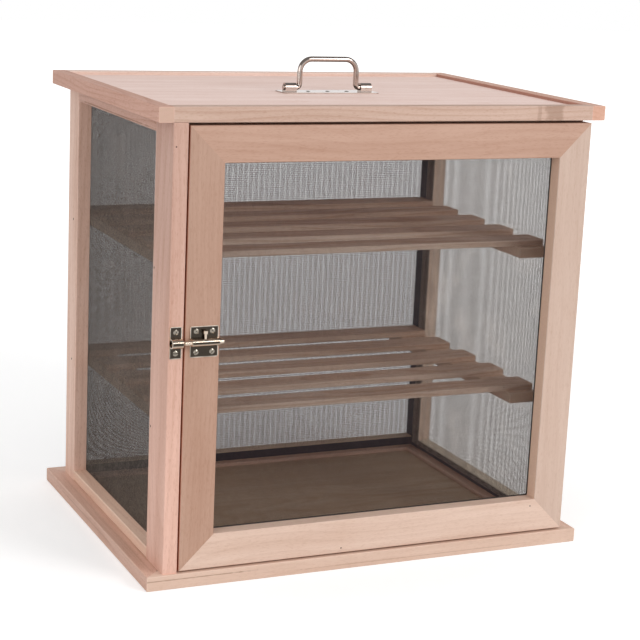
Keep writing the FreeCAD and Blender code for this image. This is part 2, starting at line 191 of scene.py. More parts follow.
def buildEdgeHighlight():
    tree, given, result = newGroup("ShaderNodeTree", "edgeHighlight", [
        ("Coordinates", "NodeSocketVector", None),
        ("Low", "NodeSocketVector", None),
        ("High", "NodeSocketVector", None),
        ("Reach", "NodeSocketFloat", 2.0 * mm),
        ("Unevenness", "NodeSocketFloat", 0.7),
    ], [("Highlight", "NodeSocketFloat")])
    fromLow = vectorCalc(tree, "SUBTRACT", given["Coordinates"], given["Low"])
    fromHigh = vectorCalc(tree, "SUBTRACT", given["High"], given["Coordinates"])
    nearest = vectorCalc(tree, "MINIMUM", fromLow, fromHigh)
    split = put(tree, "ShaderNodeSeparateXYZ", {0: nearest}).outputs
    least = calc(tree, "MINIMUM", split[0], split[1])
    most = calc(tree, "MAXIMUM", split[0], split[1])
    second = calc(tree, "MAXIMUM", least, calc(tree, "MINIMUM", most, split[2]))
    edgeLight = ramp(tree, calc(tree, "DIVIDE", second, given["Reach"]), 0.0, 1.0, 1.0, 0.0)
    patch = ramp(tree, noise(tree, given["Coordinates"], highlightPatches["patches"]), *highlightPatches["patchLevels"])
    keep = calc(tree, "SUBTRACT", 1.0, calc(tree, "MULTIPLY", patch, given["Unevenness"]))
    fill(tree, result["Highlight"], calc(tree, "MULTIPLY", edgeLight, keep))
    return tree


# faint handling marks, dust and hair scratches over any finish
handlingLook = {"levels": (0.5, 0.75), "scratches": (2600.0, 160.0, 2600.0), "scratchLevels": (0.35, 0.7)}


def buildHandling():
    tree, given, result = newGroup("ShaderNodeTree", "handlingMarks", [
        ("Coordinates", "NodeSocketVector", None),
        ("Size", "NodeSocketFloat", 22.0),
        ("Amount", "NodeSocketFloat", 0.3),
    ], [("Marks", "NodeSocketFloat"), ("Scratches", "NodeSocketFloat")])
    blotch = noise(tree, given["Coordinates"], given["Size"], 4.0, 0.62)
    marks = ramp(tree, blotch, *handlingLook["levels"])
    hair = stretched(tree, given["Coordinates"], handlingLook["scratches"])
    fill(tree, result["Marks"], calc(tree, "MULTIPLY", marks, given["Amount"]))
    fill(tree, result["Scratches"], ramp(tree, hair, *handlingLook["scratchLevels"]))
    return tree


boardGrain = buildBoardGrain()
edgeHighlight = buildEdgeHighlight()
handlingMarks = buildHandling()


def emptyMaterial(name):
    material = bpy.data.materials.new(name)
    material.use_nodes = True
    tree = material.node_tree
    tree.nodes.clear()
    shader = tree.nodes.new("ShaderNodeBsdfPrincipled")
    output = tree.nodes.new("ShaderNodeOutputMaterial")
    tree.links.new(shader.outputs[0], output.inputs["Surface"])
    return material, tree, shader, tree.nodes.new("ShaderNodeTexCoord").outputs


def addBump(tree, shader, height, strength, depth):
    bump = put(tree, "ShaderNodeBump", {"Strength": strength, "Distance": depth, "Height": height})
    fill(tree, shader.inputs["Normal"], bump.outputs[0])


woodFinish = {
    "firstSeed": 11,
    "shifts": ((-3, 3), (0.03, 0.09), (-0.08, 0.08)),     # a board's place along and across the trunk, in m
    "darkening": (1.0, 1.4, 1.65),           # darker wood is also redder
    "meanTone": 0.34,
    "palest": 0.93,
    "ringSpacing": (4.5, 8.5),
    "endGrain": 0.42,                        # how much a sawn end turns to its own colour
    "endFacing": (0.7, 0.9),
    "end": (0.78, 0.6, 0.46),
    "edge": 0.4,                             # how much an edge is painted paler, a painted highlight along the arris
    "edgeReach": 1.5 * mm,
    "highlighted": (1.12, 1.15, 1.18),
    "palestHighlight": 0.95,
    "marks": 0.12,
    "handled": (0.74, 0.6, 0.5),
    "bump": 0.2,
    "bumpDepth": 0.15 * mm,
    "roughness": (0.5, 0.64),
}
turnToGrain = {"X": (0, 0, 0), "Y": (0, 0, math.radians(90)), "Z": (0, math.radians(90), 0)}


# faces painted with light and shade: inner faces behind the wire painted near-black as a woven tape where
# there is deep shade, the closing faces of door and post painted darker for the shade in the gap between
# them, the inner face of the right edging painted darker and the inner face of the hinge stile painted
# paler for how the light falls on them
shadeAsTape = (14, 20, 38)
gapShade = (168, 104, 76)
paintedShadingFaces = {
    "right_back_post": ("-X", shadeAsTape),
    "left_back_post": ("+X", shadeAsTape),
    "right_bottom_rail": ("-X", shadeAsTape),
    "left_bottom_rail": ("+X", shadeAsTape),
    "right_top_rail": ("-X", shadeAsTape),
    "left_top_rail": ("+X", shadeAsTape),
    "back_bottom_rail": ("-Y", shadeAsTape),
    "back_top_rail": ("-Y", shadeAsTape),
    "door_latch_stile": ("-X", gapShade),
    "left_front_post": ("+X", gapShade),
    "top_right_edging": ("-X", (160, 113, 97)),
    "door_hinge_stile": ("-X", (212, 174, 153)),
}
shadeWeave = {"scale": 1400.0, "threads": (1.5, 1.5, 1.5), "palest": 0.9, "facing": (0.85, 0.95)}
# sawn ends that differ: how much, and their colour
sawnEnds = {"top_left_edging": (0.85, (198, 166, 148))}
# upright boards painted paler at the foot than at the head, by this share: painted light for how the light
# falls down the board
footLightShare = {
    "left_front_post": 0.27,
    "door_latch_stile": 0.12,
    "door_hinge_stile": 0.1,
    "left_back_post": 0.1,
}
stainLook = {"blotches": 150.0, "fadesOver": (1.05, 0.5), "tone": (0.55, 0.55, 0.55)}
# darker growth marks: middle, half size in mm and strength
stains = {
    "top_front_edging": [((195, -192, 500), (14, 6, 12), 0.5), ((176, -192, 500), (3, 6, 12), 0.35)],
    "base_front_rail": [((-220, -195, 10.6), (90, 3, 0.8), 0.6), ((60, -195, 5), (160, 3, 0.7), 0.3)],
    "base_left_rail": [((-252, -20, 16), (1.2, 175, 2), 0.16), ((-262, 40, 9), (2, 120, 0.8), 0.4)],
    "left_top_rail": [((-244, 0, 479), (2, 150, 0.9), 0.7)],
}


# paints light and shade on one face of a board, woven like a lining
def paintFaceShading(tree, place, colour, side, tone):
    sign = 1.0 if side[0] == "+" else -1.0
    outward = calc(tree, "MULTIPLY", component(tree, place["Normal"], side[1]), sign)
    threads = noise(tree, place["Object"], shadeWeave["scale"], 1.0)
    dark = linear(*tone)
    paintedShade = blendColour(tree, threads, dark, shadeOf(dark, shadeWeave["threads"], shadeWeave["palest"]))
    return blendColour(tree, ramp(tree, outward, *shadeWeave["facing"]), colour, paintedShade)


def paintLightToFoot(tree, point, colour, share, foot, head):
    gain = ramp(tree, component(tree, point, "Z"), foot, head, 1 + share, 1 - share / 3)
    gains = put(tree, "ShaderNodeCombineXYZ", {0: gain, 1: gain, 2: gain}).outputs[0]
    return vectorCalc(tree, "MULTIPLY", colour, gains)


def addStain(tree, point, colour, stained, middle, half, strength):
    away = vectorCalc(tree, "ABSOLUTE", vectorCalc(tree, "SUBTRACT", point, Vector(middle) * mm))
    share = vectorCalc(tree, "DIVIDE", away, Vector(half) * mm)
    parts = put(tree, "ShaderNodeSeparateXYZ", {0: share}).outputs
    furthest = calc(tree, "MAXIMUM", calc(tree, "MAXIMUM", parts[0], parts[1]), parts[2])
    blotch = calc(tree, "SUBTRACT", noise(tree, point, stainLook["blotches"]), 0.5)
    uneven = calc(tree, "ADD", furthest, blotch)
    shade = calc(tree, "MULTIPLY", ramp(tree, uneven, *stainLook["fadesOver"]), strength)
    return blendColour(tree, shade, colour, stained)


def woodMaterial(name, axis, screenColour, contrast, rings, seed):
    material, tree, shader, place = emptyMaterial(name)
    point = place["Object"]
    dice = random.Random(seed)
    shift = [dice.uniform(*reach) for reach in woodFinish["shifts"]]
    turned = put(tree, "ShaderNodeMapping", {"Vector": point, "Rotation": turnToGrain[axis]}).outputs[0]
    falls = [contrast * weight for weight in woodFinish["darkening"]]
    lifts = [1 / (1 - woodFinish["meanTone"] * fall) for fall in falls]
    pale = shadeOf(linear(*screenColour), lifts, woodFinish["palest"])
    grain = put(tree, "ShaderNodeGroup", {
        "Coordinates": vectorCalc(tree, "ADD", turned, shift),
        "Pale": pale,
        "Deep": shadeOf(pale, [1 - fall for fall in falls]),
        "Ring Spacing": dice.uniform(*woodFinish["ringSpacing"]) * mm,
        "Rings": rings,
    }, node_tree=boardGrain).outputs
    share, endTone = sawnEnds.get(name, (woodFinish["endGrain"], None))
    endColour = linear(*endTone) if endTone else shadeOf(pale, woodFinish["end"])
    facing = calc(tree, "ABSOLUTE", component(tree, place["Normal"], axis))
    sawn = calc(tree, "MULTIPLY", ramp(tree, facing, *woodFinish["endFacing"]), share)
    colour = blendColour(tree, sawn, grain["Colour"], endColour)
    low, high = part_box(name)
    edgeLight = put(tree, "ShaderNodeGroup", {
        "Coordinates": point,
        "Low": low,
        "High": high,
        "Reach": woodFinish["edgeReach"],
    }, node_tree=edgeHighlight).outputs["Highlight"]
    # painted highlight: the edges of the board turned paler
    highlighted = calc(tree, "MULTIPLY", edgeLight, woodFinish["edge"])
    colour = blendColour(tree, highlighted, colour, shadeOf(pale, woodFinish["highlighted"], woodFinish["palestHighlight"]))
    marks = put(tree, "ShaderNodeGroup", {
        "Coordinates": point,
        "Amount": woodFinish["marks"],
    }, node_tree=handlingMarks).outputs["Marks"]
    colour = blendColour(tree, marks, colour, shadeOf(pale, woodFinish["handled"]))
    # painted shade and light on single faces
    if name in paintedShadingFaces:
        colour = paintFaceShading(tree, place, colour, *paintedShadingFaces[name])
    # painted light: paler towards the foot
    if name in footLightShare:
        colour = paintLightToFoot(tree, point, colour, footLightShare[name], low.z, high.z)
    stained = shadeOf(endColour, stainLook["tone"])
    for middle, half, strength in stains.get(name, ()):
        colour = addStain(tree, point, colour, stained, middle, half, strength)
    fill(tree, shader.inputs["Base Color"], colour)
    fill(tree, shader.inputs["Roughness"], ramp(tree, grain["Tone"], 0.0, 1.0, *woodFinish["roughness"]))
    addBump(tree, shader, grain["Height"], woodFinish["bump"], woodFinish["bumpDepth"])
    return material


def dress(name, material):
    slots = nodes[name].data.materials
    if not slots:
        slots.append(material)
    for index in range(len(slots)):
        slots[index] = material


# every board: grain direction, colour on the screen, contrast and strength of its rings; the colours paint
# some light and shade, the top panel palest and boards seen on their left face darker
boards = {
    "base_left_rail": ("Y", (216, 176, 157), 0.3, 0.15),
    "base_right_rail": ("Y", (226, 192, 174), 0.3, 0.2),
    "base_front_rail": ("X", (220, 189, 170), 0.16, 0.2),
    "base_back_rail": ("X", (226, 192, 174), 0.2, 0.2),
    "floor_panel": ("X", (192, 168, 142), 0.24, 0.3),
    "left_front_post": ("Z", (204, 163, 146), 0.24, 0.2),
    "left_back_post": ("Z", (226, 190, 172), 0.26, 0.2),
    "right_front_post": ("Z", (217, 181, 163), 0.2, 0.2),
    "right_back_post": ("Z", (235, 202, 178), 0.24, 0.2),
    "left_bottom_rail": ("Y", (236, 198, 175), 0.26, 0.2),
    "left_top_rail": ("Y", (200, 158, 140), 0.34, 0.3),
    "right_bottom_rail": ("Y", (222, 204, 178), 0.12, 0.15),
    "right_top_rail": ("Y", (212, 180, 160), 0.12, 0.15),
    "back_bottom_rail": ("X", (222, 200, 176), 0.12, 0.15),
    "back_top_rail": ("X", (214, 180, 160), 0.12, 0.15),
    "front_bottom_rail": ("X", (216, 178, 156), 0.12, 0.15),
    "front_top_rail": ("X", (204, 164, 142), 0.12, 0.15),
    "top_left_edging": ("Y", (202, 155, 136), 0.26, 0.3),
    "top_right_edging": ("Y", (214, 171, 152), 0.24, 0.3),
    "top_front_edging": ("X", (197, 166, 149), 0.24, 0.35),
    "top_back_edging": ("X", (224, 196, 182), 0.2, 0.2),
    "top_panel": ("X", (244, 213, 203), 0.15, 0.2),
    "door_latch_stile": ("Z", (179, 142, 122), 0.2, 0.15),
    "door_hinge_stile": ("Z", (199, 172, 156), 0.16, 0.15),
    "door_top_rail": ("X", (186, 148, 128), 0.2, 0.2),
    "door_bottom_rail": ("X", (223, 193, 175), 0.2, 0.2),
}
# bearers and slats inside the case set pale: painted light against the shade in there
for level in ("lower", "upper"):
    for side in ("left", "right"):
        boards[level + "_" + side + "_bearer"] = ("Y", (240, 212, 190), 0.14, 0.2)
    for index in range(5):
        boards[level + "_slat_" + str(index + 1)] = ("X", (232, 203, 182), 0.3, 0.4)
for seed, (name, values) in enumerate(boards.items(), woodFinish["firstSeed"]):
    dress(name, woodMaterial(name, *values, seed))
print("boards dressed:", len(boards))


# bright and dull metal, and plates with painted reflection and highlight: the flat face painted dark as a
# reflection of dark surroundings, the rim painted bright as a highlight
metalFinish = {
    "markSize": 140.0,
    "marks": 0.3,
    "marked": (0.6, 0.6, 0.6),
    "cloudiness": 0.35,            # how much rougher a mark is
    "brushed": 0.1,
    "brushDepth": 0.02 * mm,
    "plateFacing": (0.9, 0.995),
    "darkReflection": (0.09, 0.09, 0.09),
    "rimReach": 1.3 * mm,
    "rimUnevenness": 0.5,
    "rim": (250, 236, 220),
}
plateFace = -193.2                 # front of the bolt's plate and its keeper, in mm


def metalMaterial(name, screenColour, rough, edges=None):      # edges: the plate whose flat face is painted dark as a reflection and whose box has its rim painted as a bright highlight
    material, tree, shader, place = emptyMaterial(name)
    marks = put(tree, "ShaderNodeGroup", {
        "Coordinates": place["Object"],
        "Size": metalFinish["markSize"],
        "Amount": metalFinish["marks"],
    }, node_tree=handlingMarks).outputs
    metal = linear(*screenColour)
    tint = blendColour(tree, marks["Marks"], metal, shadeOf(metal, metalFinish["marked"]))
    # painted reflection: the flat face dark; painted highlight: a bright rim
    if edges:
        facing = calc(tree, "ABSOLUTE", component(tree, place["Normal"], "Y"))
        flat = ramp(tree, facing, *metalFinish["plateFacing"])
        tint = blendColour(tree, flat, tint, shadeOf(metal, metalFinish["darkReflection"]))
        low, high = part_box(edges)
        low.y = high.y = plateFace * mm
        rim = put(tree, "ShaderNodeGroup", {
            "Coordinates": place["Object"],
            "Low": low,
            "High": high,
            "Reach": metalFinish["rimReach"],
            "Unevenness": metalFinish["rimUnevenness"],
        }, node_tree=edgeHighlight).outputs["Highlight"]
        tint = blendColour(tree, rim, tint, linear(*metalFinish["rim"]))
    cloudy = calc(tree, "MULTIPLY", marks["Marks"], metalFinish["cloudiness"])
    fill(tree, shader.inputs["Base Color"], tint)
    fill(tree, shader.inputs["Roughness"], calc(tree, "ADD", cloudy, rough))
    shader.inputs["Metallic"].default_value = 1.0
    addBump(tree, shader, marks["Scratches"], metalFinish["brushed"], metalFinish["brushDepth"])
    return material


brightNickel = metalMaterial("polishedNickel", (226, 208, 190), 0.14)
chrome = metalMaterial("brightChrome", (190, 176, 168), 0.1)
zinc = metalMaterial("zincPlate", (178, 176, 170), 0.3)
screwSteel = metalMaterial("screwNickel", (164, 156, 144), 0.22)
nailSteel = metalMaterial("dullNailSteel", (70, 58, 50), 0.6)
for name in ("bolt_plate", "bolt_keeper"):
    dress(name, metalMaterial(name + "Nickel", (214, 196, 178), 0.2, edges=name))
dress("bolt", brightNickel)
dress("handle_plate", chrome)
for name in nodes:
    if "leaf" in name or name == "hinge_pins":
        dress(name, zinc)
dress("bearer_nails", nailSteel)
print("metal dressed")


def evaluateTree(name, tree, values, points=()):   # runs a tree once and returns its plain mesh
    seedMesh = bpy.data.meshes.new(name + "Points")
    seedMesh.from_pydata([tuple(place) for place, turn in points], [], [])
    turns = seedMesh.attributes.new("turn", "FLOAT_VECTOR", "POINT")
    for index, (place, turn) in enumerate(points):
        turns.data[index].vector = turn
    worker = bpy.data.objects.new(name + "Worker", seedMesh)
    bpy.context.scene.collection.objects.link(worker)
    modifier = worker.modifiers.new("nodes", "NODES")
    modifier.node_group = tree
    for item in tree.interface.items_tree:
        if item.item_type == "SOCKET" and item.in_out == "INPUT" and item.name in values:
            modifier[item.identifier] = values[item.name]
    evaluated = worker.evaluated_get(bpy.context.evaluated_depsgraph_get())
    mesh = bpy.data.meshes.new_from_object(evaluated)
    mesh.name = name
    mesh.materials.clear()
    mesh.materials.append(values["Material"])
    mesh.polygons.foreach_set("material_index", [0] * len(mesh.polygons))
    bpy.data.objects.remove(worker)
    bpy.data.meshes.remove(seedMesh)
    return mesh


def addPiece(name, mesh, body):
    piece = bpy.data.objects.new(name, mesh)
    bpy.context.scene.collection.objects.link(piece)
    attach(piece, body)
    return piece


# woven wire: two layers of thin straight wires, slightly wavy as a hand-stretched cloth is
cloth = {
    "pitch": (1.25 * mm, 0.42 * mm, 0),      # of the upright and of the cross wires
    "wave": 0.35 * mm,
    "waveScale": 7.0,
    "nextCloth": 3.7,                        # how far along the noise the next cloth begins
    "waveShare": (1.0, 0.06, 1.0),           # a wave stays mostly in the plane of the cloth
}


def buildWireCloth():
    tree, given, result = newGroup("GeometryNodeTree", "wireCloth", [
        ("Geometry", "NodeSocketGeometry", None),
        ("Width", "NodeSocketFloat", 0.4),
        ("Height", "NodeSocketFloat", 0.4),
        ("Pitch", "NodeSocketVector", (1.25 * mm, 0.6 * mm, 0)),
        ("Wire", "NodeSocketVector", (0.3 * mm, 0.2 * mm, 0)),
        ("Wave", "NodeSocketFloat", 0.8 * mm),
        ("Turn", "NodeSocketVector", (0, 0, 0)),
        ("Place", "NodeSocketVector", (0, 0, 0)),
        ("Seed", "NodeSocketFloat", 0.0),
        ("Material", "NodeSocketMaterial", None),
    ], [("Geometry", "NodeSocketGeometry")])
    sheets = []
    pitches = put(tree, "ShaderNodeSeparateXYZ", {0: given["Pitch"]}).outputs
    gauges = put(tree, "ShaderNodeSeparateXYZ", {0: given["Wire"]}).outputs
    for index, (spread, length) in enumerate([("Width", "Height"), ("Height", "Width")]):
        count = calc(tree, "FLOOR", calc(tree, "DIVIDE", given[spread], pitches[index]))
        total = calc(tree, "MULTIPLY", calc(tree, "SUBTRACT", count, 1.0), pitches[index])
        start = calc(tree, "MULTIPLY", total, -0.5)
        depth = calc(tree, "MULTIPLY", gauges[index], 0.5 - index)
        first = {"X": start, "Y": depth} if index == 0 else {"Z": start, "Y": depth}
        step = {"X": pitches[0]} if index == 0 else {"Z": pitches[1]}
        line = put(tree, "GeometryNodeMeshLine", {
            "Count": count,
            "Start Location": put(tree, "ShaderNodeCombineXYZ", first).outputs[0],
            "Offset": put(tree, "ShaderNodeCombineXYZ", step).outputs[0],
        })
        wire = put(tree, "GeometryNodeMeshCylinder", {
            "Vertices": 4,
            "Side Segments": 5,
            "Radius": calc(tree, "MULTIPLY", gauges[index], 0.5),
            "Depth": given[length],
        })
        lean = (0, index * math.pi / 2, 0)       # the second layer lies across
        spin = put(tree, "GeometryNodeTransform", {"Geometry": wire.outputs["Mesh"], "Rotation": lean})
        row = put(tree, "GeometryNodeInstanceOnPoints", {
            "Points": line.outputs[0],
            "Instance": spin.outputs[0],
        })
        sheets.append(put(tree, "GeometryNodeRealizeInstances", {0: row.outputs[0]}).outputs[0])
    joined = tree.nodes.new("GeometryNodeJoinGeometry")
    for sheet in sheets:
        tree.links.new(sheet, joined.inputs[0])
    position = tree.nodes.new("GeometryNodeInputPosition").outputs[0]
    seed = put(tree, "ShaderNodeCombineXYZ", {"X": given["Seed"]}).outputs[0]
    shifted = vectorCalc(tree, "ADD", position, seed)
    texture = put(tree, "ShaderNodeTexNoise", {
        "Vector": shifted,
        "Scale": cloth["waveScale"],
        "Detail": 2.0,
    })
    wave = vectorCalc(tree, "SUBTRACT", texture.outputs["Color"], (0.5, 0.5, 0.5))
    sized = put(tree, "ShaderNodeVectorMath", {0: wave, "Scale": given["Wave"]}, operation="SCALE")
    offset = vectorCalc(tree, "MULTIPLY", sized.outputs[0], cloth["waveShare"])
    waved = put(tree, "GeometryNodeSetPosition", {"Geometry": joined.outputs[0], "Offset": offset})
    placed = put(tree, "GeometryNodeTransform", {
        "Geometry": waved.outputs[0],
        "Rotation": given["Turn"],
        "Translation": given["Place"],
    })
    realized = put(tree, "GeometryNodeRealizeInstances", {0: placed.outputs[0]})
    finished = put(tree, "GeometryNodeSetMaterial", {
        "Geometry": realized.outputs[0],
        "Material": given["Material"],
    })
    fill(tree, result["Geometry"], finished.outputs[0])
    return tree


wireCloth = buildWireCloth()
screens = {                        # body, tone of the wire, gauge of its upright and cross wires, glints; the tones paint light and shade on one cloth: dark where the wire lies in shade, pale on the right side where it is lit
    "left_screen": ("case", (86, 79, 74), (0.3, 0.14), 0.36),
    "right_screen": ("case", (192, 186, 178), (0.3, 0.14), 0.06),
    "back_screen": ("case", (104, 66, 50), (0.37, 0.18), 0.25),
    "door_screen": ("door", (58, 46, 46), (0.24, 0.12), 0.25),
}
wireFinish = {
    "markSize": 16.0,
    "marks": 0.8,
    "dusty": (1.7, 1.7, 1.7),
    "dustiest": 0.9,
    "shiny": (2.6, 2.6, 2.6),
    "shiniest": 0.95,
    "glintScale": 240.0,
    "glintLevels": (0.46, 0.6),
    "metallic": 0.2,
    "roughness": 0.5,
    "scratched": 0.2,              # how much rougher a scratch is
    "specular": 0.25,
}


def wireMaterial(name, tone, glints):      # dull coated wire with a little dust, its tone carrying painted light and shade, with painted glints
    material, tree, shader, place = emptyMaterial(name)
    marks = put(tree, "ShaderNodeGroup", {
        "Coordinates": place["Object"],
        "Size": wireFinish["markSize"],
        "Amount": wireFinish["marks"],
    }, node_tree=handlingMarks).outputs
    clean = linear(*tone)
    dusty = shadeOf(clean, wireFinish["dusty"], wireFinish["dustiest"])
    shiny = shadeOf(clean, wireFinish["shiny"], wireFinish["shiniest"])
    glint = ramp(tree, noise(tree, place["Object"], wireFinish["glintScale"]), *wireFinish["glintLevels"])
    colour = blendColour(tree, marks["Marks"], clean, dusty)
    colour = blendColour(tree, calc(tree, "MULTIPLY", glint, glints), colour, shiny)
    scratched = calc(tree, "MULTIPLY", marks["Scratches"], wireFinish["scratched"])
    fill(tree, shader.inputs["Base Color"], colour)
    fill(tree, shader.inputs["Roughness"], calc(tree, "ADD", scratched, wireFinish["roughness"]))
    shader.inputs["Metallic"].default_value = wireFinish["metallic"]
    shader.inputs["Specular IOR Level"].default_value = wireFinish["specular"]
    return material


def layScreen(seed, node, body, tone, gauge, glints):
    low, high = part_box(node)
    size = high - low
    sideways = size.x < size.y
    mesh = evaluateTree(node + "Wire", wireCloth, {
        "Width": (size.y if sideways else size.x) - cloth["pitch"][0],
        "Height": size.z - cloth["pitch"][0],
        "Pitch": cloth["pitch"],
        "Wire": (gauge[0] * mm, gauge[1] * mm, 0),
        "Wave": cloth["wave"],
        "Turn": (0, 0, math.pi / 2 if sideways else 0),
        "Place": tuple((low + high) / 2),
        "Seed": seed * cloth["nextCloth"],
        "Material": wireMaterial(node + "Wire", tone, glints),
    })
    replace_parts(addPiece(node + "Wire", mesh, body), node)


for seed, (node, values) in enumerate(screens.items()):
    layScreen(seed, node, *values)
print("wire screens laid")


# small fasteners: one shape set on many points, each turned a little by chance
def buildFasteners():
    tree, given, result = newGroup("GeometryNodeTree", "fasteners", [
        ("Geometry", "NodeSocketGeometry", None),
        ("Shape", "NodeSocketObject", None),
        ("Spin", "NodeSocketFloat", 0.0),
        ("Seed", "NodeSocketInt", 1),
        ("Material", "NodeSocketMaterial", None),
    ], [("Geometry", "NodeSocketGeometry")])
    shape = put(tree, "GeometryNodeObjectInfo", {"Object": given["Shape"]}).outputs["Geometry"]
    turn = put(tree, "GeometryNodeInputNamedAttribute", {"Name": "turn"}, data_type="FLOAT_VECTOR")
    facing = put(tree, "FunctionNodeEulerToRotation", {0: turn.outputs["Attribute"]}).outputs[0]
    dice = put(tree, "FunctionNodeRandomValue", data_type="FLOAT")
    fill(tree, dice.inputs[2], calc(tree, "MULTIPLY", given["Spin"], -1.0))
    fill(tree, dice.inputs[3], given["Spin"])
    fill(tree, dice.inputs["Seed"], given["Seed"])
    about = put(tree, "ShaderNodeCombineXYZ", {"Z": dice.outputs[1]}).outputs[0]
    spin = put(tree, "FunctionNodeEulerToRotation", {0: about}).outputs[0]
    both = put(tree, "FunctionNodeRotateRotation", {0: facing, 1: spin}, rotation_space="LOCAL")
    placed = put(tree, "GeometryNodeInstanceOnPoints", {
        "Points": given["Geometry"],
        "Instance": shape,
        "Rotation": both.outputs[0],
    })
    realized = put(tree, "GeometryNodeRealizeInstances", {0: placed.outputs[0]})
    finished = put(tree, "GeometryNodeSetMaterial", {
        "Geometry": realized.outputs[0],
        "Material": given["Material"],
    })
    fill(tree, result["Geometry"], finished.outputs[0])
    return tree


fastenerTree = buildFasteners()


def meshFrom(name, builder):
    shape = bmesh.new()
    builder(shape)
    bmesh.ops.recalc_face_normals(shape, faces=shape.faces)
    mesh = bpy.data.meshes.new(name)
    shape.to_mesh(mesh)
    shape.free()
    return mesh


def sweep(shape, path, radii, sides, closed=False):   # round tube through a row of points in one plane
    rings = []
    count = len(path)
    for index, point in enumerate(path):
        before = path[index - 1] if index or closed else point
        after = path[(index + 1) % count] if index < count - 1 or closed else point
        heading = (after - before).normalized()
        side = heading.orthogonal() if abs(heading.y) > 0.9 else heading.cross(Vector((0, 1, 0)))
        side.normalize()
        other = heading.cross(side)
        ring = []
        for step in range(sides):
            turn = 2 * math.pi * step / sides
            outward = math.cos(turn) * side + math.sin(turn) * other
            ring.append(shape.verts.new(point + radii[index] * outward))
        rings.append(ring)
    pairs = list(zip(rings, rings[1:]))
    if closed:
        pairs.append((rings[-1], rings[0]))
    for ring, following in pairs:
        for step in range(sides):
            face = (ring[step - 1], ring[step], following[step], following[step - 1])
            shape.faces.new(face).smooth = True
    if not closed:
        shape.faces.new(rings[0])
        shape.faces.new(rings[-1])


def arc(middle, radius, start, stop, steps):      # points in the XZ plane
    turns = [start + (stop - start) * step / steps for step in range(steps + 1)]
    return [middle + radius * Vector((math.cos(turn), 0, math.sin(turn))) for turn in turns]


screwShape = {                     # its rows and the widths of its shank are shares of the radius
    "radius": 2.9 * mm,
    "slot": 0.45 * mm,             # half its width
    "slotDepth": 0.7 * mm,
    "slotWall": 1.15,
    "rows": (0.35, 0.55, 0.72, 0.86, 0.96),
    "columns": 14,
    "shank": ((0.3 * mm, 1.0), (1.7 * mm, 0.52), (11.6 * mm, 0.5)),     # depth and width
    "dome": 0.6 * mm,
    "spin": 1.2,
}


def buildScrew(rise):              # head with a straight slot; rise is its dome, 0 for a flat head
    def build(shape):
        radius = screwShape["radius"]
        slot = screwShape["slot"]
        columns = screwShape["columns"]
        inside = [slot, slot * screwShape["slotWall"]] + [radius * share for share in screwShape["rows"]]
        grid = []
        for y in [-y for y in reversed(inside)] + inside:
            half = math.sqrt(radius ** 2 - y ** 2)
            sunk = screwShape["slotDepth"] if abs(y) <= slot else 0
            row = []
            for step in range(columns + 1):
                x = half * math.sin(math.pi / 2 * (step / (columns / 2) - 1))
                out = min(1.0, (x * x + y * y) / radius ** 2)
                row.append(shape.verts.new((x, y, rise * (1 - out) - sunk)))
            grid.append(row)
        for row, following in zip(grid, grid[1:]):
            for step in range(columns):
                shape.faces.new((row[step], row[step + 1], following[step + 1], following[step]))
        for depth, width in screwShape["shank"]:
            rim = [edge for edge in shape.edges if edge.is_boundary]
            moved = bmesh.ops.extrude_edge_only(shape, edges=rim)["geom"]
            for vertex in [item for item in moved if isinstance(item, bmesh.types.BMVert)]:
                flat = Vector((vertex.co.x, vertex.co.y))
                flat *= width * radius / max(flat.length, 0.1 * mm)
                vertex.co = (flat.x, flat.y, -depth)
        bmesh.ops.holes_fill(shape, edges=[edge for edge in shape.edges if edge.is_boundary], sides=0)
    return build


pinShape = {                       # a ring is its share of the radius and its height
    "radius": 0.8 * mm,
    "rings": ((0.35, 0.16 * mm), (0.72, 0.12 * mm), (1.0, 0.0), (0.5, -1.2 * mm)),
    "sides": 10,
}


def buildPin(shape):               # small domed head with a short shank
    sides = pinShape["sides"]
    turns = [2 * math.pi * step / sides for step in range(sides)]
    loops = []
    for share, height in pinShape["rings"]:
        width = share * pinShape["radius"]
        places = [(math.cos(turn) * width, math.sin(turn) * width, height) for turn in turns]
        loops.append([shape.verts.new(place) for place in places])
    for loop, following in zip(loops, loops[1:]):
        for step in range(sides):
            shape.faces.new((loop[step - 1], loop[step], following[step], following[step - 1]))
    shape.faces.new(loops[0])
    shape.faces.new(loops[-1])


stapleShape = {
    "crown": 9.0 * mm,
    "leg": 2.0 * mm,
    "wire": 0.25 * mm,             # half its thickness
    "bend": 0.5 * mm,
    "sides": 5,
    "spin": 0.12,
}


def buildStaple(shape):            # crown along X just above the surface, legs driven in
    half = stapleShape["crown"] / 2
    bend = stapleShape["bend"]
    wire = stapleShape["wire"]
    left = Vector((-half + bend, 0, wire - bend))
    right = Vector((half - bend, 0, wire - bend))
    path = [Vector((-half, 0, -stapleShape["leg"]))] + arc(left, bend, math.pi, math.pi / 2, 2)
    path += arc(right, bend, math.pi / 2, 0, 2) + [Vector((half, 0, -stapleShape["leg"]))]
    sweep(shape, path, [wire] * len(path), stapleShape["sides"])


def setFasteners(name, groups, body, material, spin=0.0, replaced=None):
    joined = bmesh.new()
    for builder, points in groups:
        pattern = bpy.data.objects.new(name + "Pattern", meshFrom(name + "Pattern", builder))
        spots = [(Vector(place) * mm, turn) for place, turn in points]
        values = {"Shape": pattern, "Spin": spin, "Seed": len(spots), "Material": material}
        mesh = evaluateTree(name, fastenerTree, values, spots)
        joined.from_mesh(mesh)
        bpy.data.objects.remove(pattern)
        bpy.data.meshes.remove(mesh)
    mesh = bpy.data.meshes.new(name)
    joined.to_mesh(mesh)
    joined.free()
    mesh.materials.append(material)
    piece = addPiece(name, mesh, body)
    if replaced:
        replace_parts(piece, replaced)


